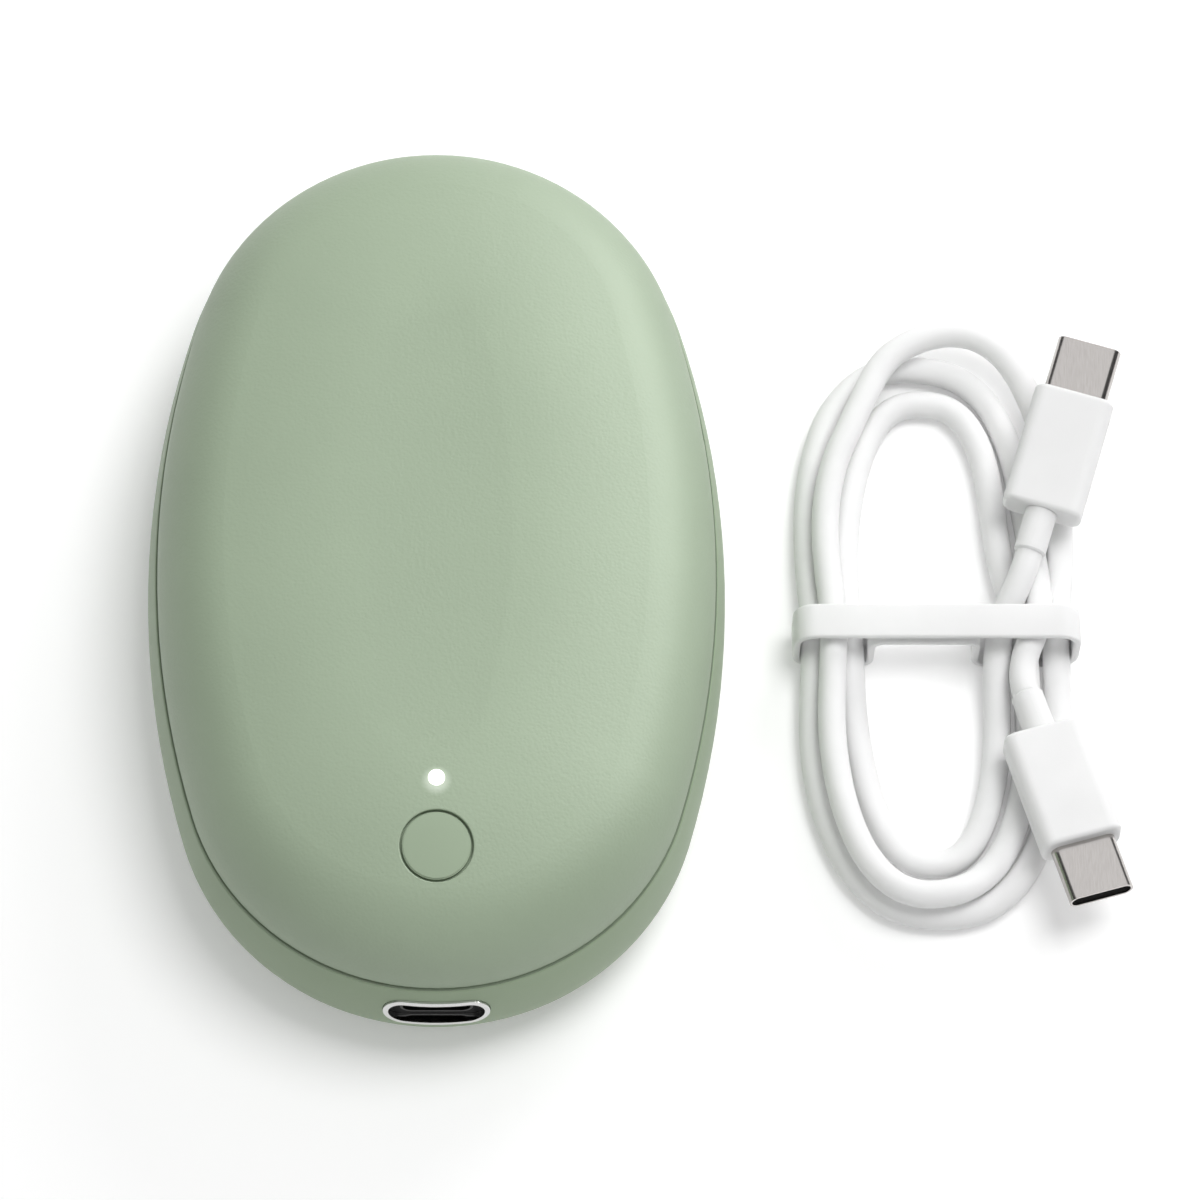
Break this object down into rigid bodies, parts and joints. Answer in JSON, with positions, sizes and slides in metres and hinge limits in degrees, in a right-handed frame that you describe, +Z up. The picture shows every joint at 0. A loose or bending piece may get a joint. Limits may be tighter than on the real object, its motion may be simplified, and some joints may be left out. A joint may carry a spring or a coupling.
{
  "type": "rechargeable hand warmer",
  "caption": "Oval pebble-shaped rechargeable hand warmer with a power button, status light and charging port, and its tied charging lead beside it.",
  "frame": {"origin": "middle of the warmer's flat underside", "axes": "+Z up, +Y along the warmer to the end away from the charging port, +X to the right, where the lead lies"},
  "size_m": [0.1244, 0.117, 0.03],
  "materials": {
    "cover_plastic": "fine leather-like grain, satin",
    "base_plastic": "fine grain, satin",
    "button_plastic": "smooth satin",
    "seal_rubber": "matt",
    "gasket_rubber": "matt",
    "bezel_plate": "satin plated",
    "port_black": "matt",
    "socket_steel": "drawn",
    "contact_gold": "plated",
    "board_green": "solder mask",
    "chip_black": "moulded",
    "socket_ivory": "moulded",
    "ribbon_white": "flat film",
    "screw_steel": "zinc plated",
    "led_chip": "potted",
    "light_clear": "clear, lit from below",
    "cell_sleeve": "shrink sleeve",
    "strip_nickel": "rolled",
    "frame_plastic": "moulded",
    "heater_aluminium": "rolled",
    "heater_film": "film",
    "foam_grey": "closed cell",
    "sensor_bead": "dipped",
    "wire_jacket": "satin",
    "lead_jacket": "satin",
    "tie_band": "satin",
    "plug_plastic": "satin",
    "plug_nickel": "satin nickel",
    "plug_core": "moulded"
  },
  "bodies": {
    "case": {"top_cover": "cover_plastic", "base_shell": "base_plastic", "seal_ring": "seal_rubber", "parting_gasket": "gasket_rubber", "usb_bezel": "bezel_plate", "port_insert": "port_black", "usb_tongue": "port_black", "usb_shell": "socket_steel", "usb_contacts": "contact_gold", "main_board": "board_green", "button_board": "board_green", "board_components": "chip_black", "tact_switch": "chip_black", "ribbon_sockets": "socket_ivory", "button_ribbon": "ribbon_white", "board_screws": "screw_steel", "frame_screws": "screw_steel", "button_board_screws": "screw_steel", "status_led": "led_chip", "light_pipe": "light_clear", "battery_cell_left": "cell_sleeve", "battery_cell_right": "cell_sleeve", "link_strip_front": "strip_nickel", "link_strip_rear": "strip_nickel", "inner_frame": "frame_plastic", "heater_plate_top": "heater_aluminium", "heater_plate_base": "heater_aluminium", "heater_film_top": "heater_film", "heater_film_base": "heater_film", "foam_pad": "foam_grey", "thermistor": "sensor_bead", "battery_leads": "wire_jacket", "heater_leads_top": "wire_jacket", "heater_leads_base": "wire_jacket", "charging_lead": "lead_jacket", "cable_tie": "tie_band", "plug_a_grip": "plug_plastic", "plug_b_grip": "plug_plastic", "plug_a_collar": "plug_plastic", "plug_b_collar": "plug_plastic", "plug_a_shell": "plug_nickel", "plug_b_shell": "plug_nickel", "plug_a_insert": "plug_core", "plug_b_insert": "plug_core"},
    "button": {"power_button": "button_plastic"},
    "plunger": {"switch_plunger": "socket_ivory"}
  },
  "joints": [
    {"name": "button_press", "type": "slide", "parent": "case", "child": "button", "axis": [0, 0.1748, -0.9846], "range_m": [0, 0.0003], "stiffness_N_per_m": 600, "springref_m": -0.002},
    {"name": "plunger_press", "type": "slide", "parent": "case", "child": "plunger", "axis": [0, 0.1748, -0.9846], "range_m": [0, 0.0003]}
  ],
  "couplings": [
    {"joint": "plunger_press", "follows": "button_press", "ratio": 1}
  ]
}
